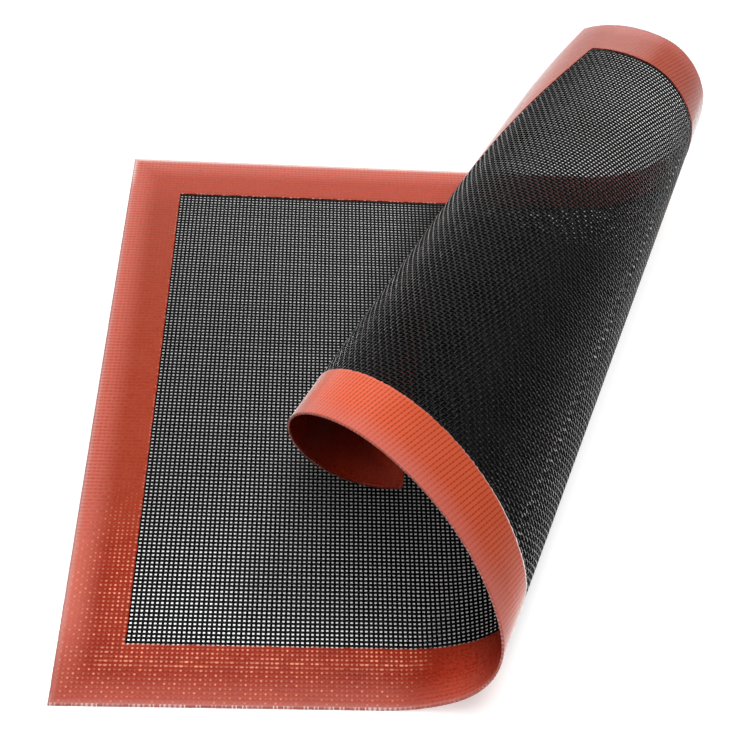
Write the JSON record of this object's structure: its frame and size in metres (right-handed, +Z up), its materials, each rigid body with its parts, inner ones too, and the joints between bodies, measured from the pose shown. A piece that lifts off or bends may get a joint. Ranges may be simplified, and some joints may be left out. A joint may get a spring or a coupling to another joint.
{
  "type": "silicone baking mat",
  "caption": "Rectangular perforated baking mat of black silicone-coated glass net with a red silicone border, its right side rolled over onto itself.",
  "frame": {"origin": "on the surface that the mat lies on, under the middle of its bounding box", "axes": "+X along the mat's front edge from the flat side to the rolled side, +Y from the front edge to the back edge, +Z up"},
  "size_m": [0.284, 0.367, 0.0773],
  "materials": {
    "net": "open woven glass-fibre net dipped in black silicone, satin",
    "border": "brick-red silicone over the weave, satin with small glints"
  },
  "bodies": {
    "root": {"net_flat": "net", "net_roll": "net", "border_top": "border", "border_underside_flat": "border", "border_underside_roll": "border"}
  },
  "joints": []
}
